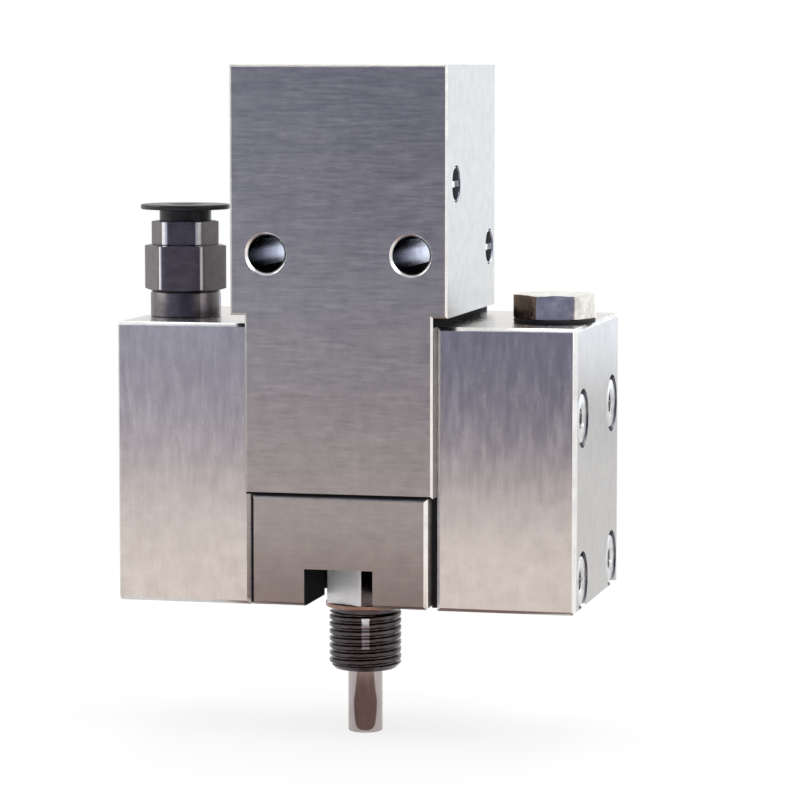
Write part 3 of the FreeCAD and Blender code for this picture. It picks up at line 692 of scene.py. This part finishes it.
# %% Rings around an axis
def turned_shape(rows, angles, place=(0.0, 0.0), hollow=True, paint=lambda angle, height: None):
    # Each row is a reach, which is a number or a function of the angle, a height and a finish.
    # The paint function may give another finish to a face from its angle and middle height.
    shape = bmesh.new()
    rings = []
    for reach, height, *own in rows:
        ring = []
        for angle in angles:
            length = reach(angle) if callable(reach) else reach
            ring.append(shape.verts.new((place[0] + length * cos(angle),
                                         place[1] + length * sin(angle), height)))
        rings.append((ring, height, own[0] if own else 0))
    joined = zip(rings, rings[1:] + rings[:1] * hollow)
    for (low, low_height, ring_finish), (high, high_height, _) in joined:
        for step, angle in enumerate(angles):
            after = (step + 1) % len(angles)
            face = shape.faces.new((low[step], low[after], high[after], high[step]))
            other = paint(angle, (low_height + high_height) / 2)
            face.material_index = ring_finish if other is None else other
    if not hollow:
        for ring, _, end_finish in (rings[0], rings[-1]):
            shape.faces.new(ring).material_index = end_finish
    return shape


def round_angles(count):
    return [2 * pi * step / count for step in range(count)]


def profile(base, *steps):
    # Rows from steps: a reach and a height above the base, both in millimetres, and a finish.
    return [(reach * mm, base + rise * mm, *finish) for reach, rise, *finish in steps]


def both_ends(low, high, *steps):
    # Rows of a ring that is the same at both ends. A step's height is its distance from the end.
    return profile(low, *steps) + profile(high, *[(reach, -rise) for reach, rise in reversed(steps)])


def hex_angles(corner, land=radians(1.2), per_side=14):
    # Close to each corner a narrow land is kept, where the hexagon's edge has been broken.
    angles = []
    for side in range(6):
        start = corner + side * pi / 3
        angles += [start - land, start + land]
        span = pi / 3 - 2 * land
        angles += [start + land + span * step / per_side for step in range(1, per_side)]
    return angles


def hex_reach(flats, corner, land=radians(1.2)):
    limit = flats / 2 / cos(pi / 6 - land)

    def reach(angle):
        return min(limit, flats / 2 / cos((angle - corner) % (pi / 3) - pi / 6))
    return reach


def within(reach, limit):
    return lambda angle: min(reach(angle), limit)


def hex_rows(flats, corner, low, high, low_bevel=0.0, high_bevel=0.0, finish=0, land=radians(1.2)):
    # The rows of a hexagon whose corners may have been turned down at its ends.
    reach = hex_reach(flats, corner, land)
    spread = flats / sqrt(3) - flats / 2
    steps = 7
    up = [(within(reach, flats / 2 * 0.985 + spread * 1.03 * step / steps), spread * step / steps)
          for step in range(steps)]
    rows = [(reach, low, finish)]
    if low_bevel:
        rows = [(limit, low + rise * low_bevel, finish) for limit, rise in up]
    if high_bevel:
        rows += [(limit, high - rise * high_bevel, finish) for limit, rise in reversed(up)]
    else:
        rows.append((reach, high, finish))
    return rows


def painted_light_lands(corner, land, low, high):
    # Between two heights the narrow lands at a hexagon's corners get finish 1, a painted highlight.
    # The two flats at its right get finish 2, lighter as painted light.
    def paint(angle, height):
        past_land = (angle - corner + land) % (pi / 3)
        if min(past_land, pi / 3 - past_land) < 1e-4 and low < height < high:
            return 1
        at_flat = (angle - corner) % (2 * pi)
        return 2 if at_flat < radians(58) or at_flat > radians(300) else None
    return paint


print("corner of a 10 mm hexagon:", round(hex_reach(10, 0)(0), 2), "mm")

# %% [markdown]
# A thread is a ridge that climbs by one pitch for each turn. Here a ring's reach depends on its
# height less the climb at that angle, so the crests run round in a true right-hand spiral. The
# crests are left flat, and how wide they are depends on how fine the thread was cut.

# %% Rows of a screw thread
def thread_rows(radius, depth, pitch, low, high, per_turn=10, cone=None, crest=0.14, flank=0.72):
    rows = []
    count = int(round((high - low) / pitch * per_turn))
    for step in range(count + 1):
        height = low + (high - low) * step / count
        limit = radius if cone is None else min(radius, cone(height))

        def reach(angle, height=height, limit=limit):
            along = (height / pitch - angle / (2 * pi)) % 1.0
            fall = min(1.0, max(0.0, (abs(along - 0.5) * 2 - crest) / flank))
            return min(limit, radius - depth * (fall * fall * (3 - 2 * fall) * 0.35 + fall * 0.65))
        rows.append((reach, height))
    return rows


print("thread rows ready")


# %% Outlet fitting, its copper ring and the outlet tube
fitting_low, fitting_high = z_range("outlet_fitting")
ring_low, ring_high = z_range("outlet_copper_ring")
tube_high = z_range("outlet_tube")[1]
outlet_hex_corner = radians(37)
outlet_hex_high = ring_high + 6.3 * mm
thread_radius = 5.0 * mm
thread_end = ring_low - 0.8 * mm
gleam_angle, gleam_half = radians(-76.4), radians(6.5)
gleam_low, gleam_bright, gleam_high = [thread_end - below * mm for below in (4.6, 1.3, 0.4)]


def outlet_cone(height):
    return thread_radius - 0.8 * mm + (height - fitting_low)


def outlet_painted_light(angle, height):
    # The thread carries a painted highlight in a narrow upright strip at the front, brightest at its
    # top. The hexagon's flat at the front right gets the thread's black as painted shade.
    beside = abs((angle - gleam_angle + pi) % (2 * pi) - pi)
    if gleam_low < height < gleam_high and beside < gleam_half:
        return 1 if height > gleam_bright else 2
    at_flat = (angle - outlet_hex_corner) % (2 * pi)
    dark_flat_shade = radians(240.5) < at_flat < radians(299)
    return 0 if dark_flat_shade and ring_high < height < outlet_hex_high else None


outlet_rows = profile(fitting_low, (2.03, 0), (4.1, 0))
outlet_rows += thread_rows(thread_radius, 0.36 * mm, 1.0 * mm, fitting_low + 0.05 * mm, thread_end,
                           per_turn=16, cone=outlet_cone, crest=0.42, flank=0.4)
outlet_rows += profile(thread_end, (4.3, 0.1)) + profile(ring_low, (4.3, 0), (4.94, 0))
outlet_rows += profile(ring_high, (4.94, 0, 1))
outlet_rows += hex_rows(10 * mm, outlet_hex_corner, ring_high, outlet_hex_high, finish=1)
outlet_rows += profile(outlet_hex_high, (4.0, 0, 1)) + profile(fitting_high, (4.0, 0, 1), (1.25, 0))
outlet_rows += profile(fitting_low, (1.25, 4.5), (2.03, 4.5))
shape = turned_shape(outlet_rows, hex_angles(outlet_hex_corner), paint=outlet_painted_light)
dress("outlet_fitting_turned", shape, ["thread_black", "hex_steel", "painted_sheen_steel"], "outlet_fitting")

ring_rows = both_ends(ring_low, ring_high, (4.97, 0.1), (5.1, 0), (5.38, 0), (5.5, 0.12))
dress("copper_ring_turned", turned_shape(ring_rows, round_angles(96)), ["copper"], "outlet_copper_ring")

tube_rows = profile(0, (1.0, 0.25), (1.25, 0), (2.15, 0), (2.32, 0.07), (2.4, 0.25))
tube_rows += profile(fitting_low, (2.4, 0), (2.0, 0)) + profile(tube_high, (2.0, 0), (1.0, 0))
dress("outlet_tube_drawn", turned_shape(tube_rows, round_angles(72)), ["tube_steel"], "outlet_tube")
print("outlet from", round(fitting_low / mm, 2), "to", round(fitting_high / mm, 2), "mm")

# %% [markdown]
# The hose fitting is a stack of three: a hexagon with its round foot, a smaller nut, and a thin
# flange that is pressed down to free the hose. They were blackened; the hexagons' corners carry a
# painted highlight, and their flats at the right are painted lighter where the light falls. The plug
# on the other block is plain steel on a black washer.

# %% Hose fitting, hex plug and washer
fitting_place = middle_and_size("inlet_fitting_nut")[0]
fitting_corner = radians(9)
grip_land, nut_land = radians(2.0), radians(5.5)
block_top = z_range("inlet_block")[1]
stem_low = z_range("inlet_fitting_body")[0]
nut_low, nut_high = z_range("inlet_fitting_nut")
collar_low, collar_high = z_range("release_collar")
grip_low = block_top + 3.7 * mm
hose_stop = collar_low - 3.23 * mm
black_with_painted_light = ["black_steel", "corner_highlight_steel", "painted_sheen_steel"]

fitting_rows = profile(stem_low, (1.5, 0), (3.7, 0), (4.0, 0.3))
fitting_rows += profile(block_top, (4.0, 0), (4.75, 0), (4.9, 0.15))
fitting_rows += profile(grip_low, (4.9, -0.5), (4.75, -0.2), (4.6, 0))
fitting_rows += hex_rows(10.2 * mm, fitting_corner, grip_low, nut_low, low_bevel=0.3, high_bevel=0.25,
                         land=grip_land)
fitting_rows += profile(nut_low, (3.9, 0)) + profile(hose_stop, (3.9, 0), (2.1, 0))
fitting_rows += profile(block_top, (2.1, 3.5), (1.5, 3.5))
grip_painted_light = painted_light_lands(fitting_corner, grip_land, grip_low + 0.4 * mm, nut_low - 0.4 * mm)
shape = turned_shape(fitting_rows, hex_angles(fitting_corner, grip_land), fitting_place, paint=grip_painted_light)
dress("hose_fitting_turned", shape, black_with_painted_light, "inlet_fitting_body")

nut_rows = profile(nut_low, (3.65, 0))
nut_rows += hex_rows(8.6 * mm, fitting_corner, nut_low, nut_high, low_bevel=0.2, high_bevel=0.2,
                     land=nut_land)
nut_rows += profile(nut_high, (3.65, 0))
nut_painted_light = painted_light_lands(fitting_corner, nut_land, nut_low + 0.3 * mm, nut_high)
shape = turned_shape(nut_rows, hex_angles(fitting_corner, nut_land), fitting_place, paint=nut_painted_light)
dress("hose_nut_turned", shape, black_with_painted_light, "inlet_fitting_nut")

flange_low = collar_high - 0.7 * mm
collar_rows = profile(collar_low, (2.1, 0), (3.4, 0), (3.6, 0.2))
collar_rows += profile(flange_low, (3.6, -0.15), (3.75, 0), (6.0, 0), (6.14, 0.06), (6.2, 0.2))
collar_rows += profile(collar_high, (6.2, -0.2), (6.14, -0.06), (6.0, 0), (2.5, 0), (2.25, -0.1),
                       (2.1, -0.35))
dress("release_flange_moulded", turned_shape(collar_rows, round_angles(96), fitting_place),
      ["black_plastic"], "release_collar")

plug_place = middle_and_size("plug_washer")[0]
plug_corner = radians(14)
washer_low, washer_high = z_range("plug_washer")
plug_low, plug_high = z_range("hex_plug")
plug_rows = profile(plug_low, (3.7, 0), (4.0, 0.3)) + profile(washer_high, (4.0, 0))
plug_rows += hex_rows(10 * mm, plug_corner, washer_high, plug_high, low_bevel=0.12, high_bevel=0.2)
plug_rows += profile(plug_high, (4.6, 0))


def shaded_flat_paint(angle, height):
    # One flat of the plug, the one at its front left, is darker as painted shade.
    at_flat = (angle - plug_corner) % (2 * pi)
    in_shade = radians(178) < at_flat < radians(240) and height < plug_high - 0.1 * mm
    return 1 if in_shade else None


shape = turned_shape(plug_rows, hex_angles(plug_corner), plug_place, hollow=False, paint=shaded_flat_paint)
dress("hex_plug_turned", shape, ["plug_steel", "shaded_flat_steel"], "hex_plug")

washer_rows = both_ends(washer_low, washer_high, (4.03, 0), (5.45, 0), (5.59, 0.15))
dress("plug_washer_moulded", turned_shape(washer_rows, round_angles(96), plug_place), ["seal_rubber"],
      "plug_washer")
print("fitting at", round(fitting_place.x / mm, 2), "plug at", round(plug_place.x / mm, 2), "mm")

# %% [markdown]
# Socket screws hold the blocks. One screw is turned as a stack of rings: a shank, a head with a
# fine upright knurl, and a hexagon socket with a small countersink. A geometry node tree sets
# copies of it on the corners of a rectangle, each turned a little further, as screws end up
# when they are tightened. The same tree serves the left, the right and the lower block.

# %% One socket screw
def screw_rows(radius, head_radius, head_height, length, socket_flats, teeth):
    # The head stands on height 0, and the shank hangs below it.
    def knurl(angle):
        return head_radius - 0.028 * head_radius * (1 - cos(teeth * angle)) / 2

    ease = 0.07 * head_radius
    socket_deep = head_height / 2
    socket = hex_reach(socket_flats, 0)
    lip = socket_flats / sqrt(3)
    socket_low = head_height - socket_deep
    return [(radius * 0.8, -length), (radius, -length + radius * 0.2), (radius, 0),
            (head_radius * 0.96, 0), (head_radius * 0.985, ease * 0.4), (knurl, ease),
            (knurl, head_height - ease * 1.6), (head_radius * 0.965, head_height - ease * 0.9),
            (head_radius * 0.93, head_height - ease * 0.2), (head_radius * 0.90, head_height),
            (lip * 1.10, head_height), (lip * 1.02, head_height - ease * 0.5),
            (socket, head_height - ease * 1.2), (socket, socket_low),
            (0.15 * socket_flats, head_height - socket_deep * 1.12)]


def screw_model(name, **sizes):
    shape = turned_shape(screw_rows(**sizes), round_angles(120), hollow=False)
    return bpy.data.objects.new(name, smooth_mesh(name, shape, ["screw_steel"]))


block_head, seat_head = 3.5 * mm, 2.25 * mm
block_screw = screw_model("block_screw", radius=2.0 * mm, head_radius=block_head, head_height=4.25 * mm,
                          length=21.0 * mm, socket_flats=3.0 * mm, teeth=40)
seat_screw = screw_model("seat_screw", radius=1.25 * mm, head_radius=seat_head, head_height=2.5 * mm,
                         length=19.0 * mm, socket_flats=2.0 * mm, teeth=30)
print("screw faces:", len(block_screw.data.polygons))


# %% A node tree that sets four screws
def build_screw_tree():
    tree = bpy.data.node_groups.new("four_screws", "GeometryNodeTree")
    face = tree.interface
    for name, kind in (("Screw", "Object"), ("Width", "Float"), ("Height", "Float"), ("Place", "Vector"),
                       ("Facing", "Vector"), ("Turn Step", "Float")):
        face.new_socket(name=name, in_out="INPUT", socket_type="NodeSocket" + kind)
    face.new_socket(name="Screws", in_out="OUTPUT", socket_type="NodeSocketGeometry")
    put_in = add_node(tree, "NodeGroupInput")
    put_out = add_node(tree, "NodeGroupOutput")
    grid = set_inputs(add_node(tree, "GeometryNodeMeshGrid"), Vertices_X=2, Vertices_Y=2)
    model = add_node(tree, "GeometryNodeObjectInfo", transform_space="ORIGINAL")
    set_inputs(model, As_Instance=True)
    index = add_node(tree, "GeometryNodeInputIndex")
    turn = add_node(tree, "ShaderNodeMath", operation="MULTIPLY")
    spin = add_node(tree, "ShaderNodeCombineXYZ")
    setting = add_node(tree, "GeometryNodeInstanceOnPoints")
    carry = add_node(tree, "GeometryNodeTransform")
    real = add_node(tree, "GeometryNodeRealizeInstances")
    for source, giving, target, taking in (
            (put_in, "Width", grid, "Size X"), (put_in, "Height", grid, "Size Y"),
            (put_in, "Screw", model, "Object"), (index, 0, turn, 0), (put_in, "Turn Step", turn, 1),
            (turn, 0, spin, "Z"), (grid, "Mesh", setting, "Points"),
            (model, "Geometry", setting, "Instance"), (spin, 0, setting, "Rotation"),
            (setting, "Instances", carry, "Geometry"), (put_in, "Place", carry, "Translation"),
            (put_in, "Facing", carry, "Rotation"), (carry, "Geometry", real, "Geometry"),
            (real, "Geometry", put_out, "Screws")):
        tree.links.new(source.outputs[giving], target.inputs[taking])
    return tree


screw_tree = build_screw_tree()
print("tree inputs:", [item.name for item in screw_tree.interface.items_tree if item.in_out == "INPUT"])


# %% Screws of each block
def set_screws(name, model, spacing, place, facing, turn_step, node):
    base = new_object(name + "_base", bpy.data.meshes.new(name + "_base"))
    modifier = base.modifiers.new("screws", "NODES")
    modifier.node_group = screw_tree
    values = {"Screw": model, "Width": spacing[0], "Height": spacing[1], "Place": place,
              "Facing": facing, "Turn Step": turn_step}
    for item in screw_tree.interface.items_tree:
        if item.in_out == "INPUT":
            modifier[item.identifier] = values[item.name]
    bpy.context.view_layer.update()
    evaluated = base.evaluated_get(bpy.context.evaluated_depsgraph_get())
    mesh = bpy.data.meshes.new_from_object(evaluated)
    bpy.data.objects.remove(base)
    mesh.name = name
    hand_over(name, mesh, node)
    print(name, len(mesh.polygons), "faces")


block_side, head_deep = 32 * mm, 4.4 * mm
for node, side in (("inlet_block_screws", -1), ("purge_block_screws", 1)):
    middle, size = middle_and_size(node)
    facing = Matrix(((0, 0, side), (side, 0, 0), (0, 1, 0))).to_euler()
    set_screws(node + "_set", block_screw, (size.y - 2 * block_head, size.z - 2 * block_head),
               (side * (block_side - head_deep), middle.y, middle.z), facing, 0.37, node)

middle, size = middle_and_size("seat_block_screws")
set_screws("seat_block_screws_set", seat_screw, (size.x - 2 * seat_head, size.y - 2 * seat_head),
           (middle.x, middle.y, z_range("seat_block_screws")[0] + 2.5 * mm),
           Matrix(((1, 0, 0), (0, -1, 0), (0, 0, -1))).to_euler(), 0.61, "seat_block_screws")

# %% [markdown]
# Two small screws without heads sit in the right side of the body: one closes an air passage and
# one clamps the mounting screw. On top, the stroke adjuster is a threaded rod with a socket, held
# by a flat nut. They are stacks of rings too, and the side ones are turned to face right.

# %% Headless screws, the adjuster and the nuts
def headless_thread(radius, depth, pitch, length, ease):
    # The outer end is at height 0, and the screw goes down from it.
    ends = [(radius - 1.3 * depth, -length), (radius - depth, -length + 0.1 * ease)]
    return ends + thread_rows(radius, depth, pitch, -length + ease, -ease)


def socket_screw_rows(radius, depth, pitch, length, socket_flats):
    socket = hex_reach(socket_flats, 0)
    lip = socket_flats / sqrt(3)
    ease = depth * 0.9
    return headless_thread(radius, depth, pitch, length, ease) + [
        (radius - depth, -0.15 * ease), (radius - 1.2 * depth, 0), (lip * 1.12, 0),
        (lip * 1.03, -0.1 * lip), (socket, -0.2 * lip), (socket, -0.55 * length),
        (0.2 * socket_flats, -0.62 * length)]


def slotted_screw_rows(radius, depth, pitch, length, slot, slot_deep=0.35 * mm):
    # A screw with a milled slot across its outer end. Its black is painted shade of the hole it sits
    # in, and the slot's bright finish is a painted highlight.
    ease = depth * 0.9
    return headless_thread(radius, depth, pitch, length, ease) + [
        (radius - 0.5 * depth, -0.3 * ease, 1), (radius - depth, 0), (slot, 0, 1),
        (slot, -slot_deep, 1), (0.1 * mm, -slot_deep, 1)]


slot_long, slot_wide = 1.95 * mm, 0.42 * mm
slot_corner = atan2(slot_wide, slot_long)
slot_angles = sorted(round_angles(72) + [slot_corner, pi - slot_corner, pi + slot_corner,
                                         2 * pi - slot_corner])


def slot_reach(angle):
    return min(slot_long / max(1e-9, abs(cos(angle))), slot_wide / max(1e-9, abs(sin(angle))))


body_side = 15.0 * mm
outer = body_side - 0.12 * mm
for node in ("vent_plug", "mount_clamp_screw"):
    middle, size = middle_and_size(node)
    inner = middle.x - size.x / 2
    rows = slotted_screw_rows(2.46 * mm, 0.3 * mm, 0.8 * mm, outer - inner, slot_reach)
    shape = turned_shape(rows, slot_angles, hollow=False)
    to_right = Matrix(((0, 0, 1, outer), (1, 0, 0, middle.y), (0, 1, 0, middle.z), (0, 0, 0, 1)))
    bmesh.ops.transform(shape, matrix=to_right, verts=shape.verts)
    dress(node + "_turned", shape, ["joint_and_shade_black", "painted_highlight_steel"], node)
    print(node, "outer end at", round(outer / mm, 2))

adjuster_low, adjuster_high = z_range("stroke_adjuster_screw")
adjuster_rows = socket_screw_rows(2.98 * mm, 0.4 * mm, 0.75 * mm, adjuster_high - adjuster_low, 3.0 * mm)
adjuster_rows = [(reach, height + adjuster_high) for reach, height, *_ in adjuster_rows]
dress("stroke_adjuster_threaded", turned_shape(adjuster_rows, round_angles(72), hollow=False),
      ["screw_steel"], "stroke_adjuster_screw")

for node, flats, hole in (("adjuster_lock_nut", 10.0 * mm, 3.05 * mm),
                          ("piston_nut", 5.5 * mm, 1.53 * mm)):
    low, high = z_range(node)
    rows = [(hole, low)] + hex_rows(flats, 0, low, high, low_bevel=0.5) + [(hole, high)]
    dress(node + "_turned", turned_shape(rows, hex_angles(0)), ["screw_steel"], node)
print("turned pieces done")

# %% [markdown]
# The return spring shortens when the needle lifts. Here it keeps the shape of its CAD node: the
# solid is merged, shaded smooth and given a mesh of its own.

# %% The return spring
spring = dress("return_spring_wound", merged_solid("return_spring"), ["spring_steel"], "return_spring")
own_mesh(spring)
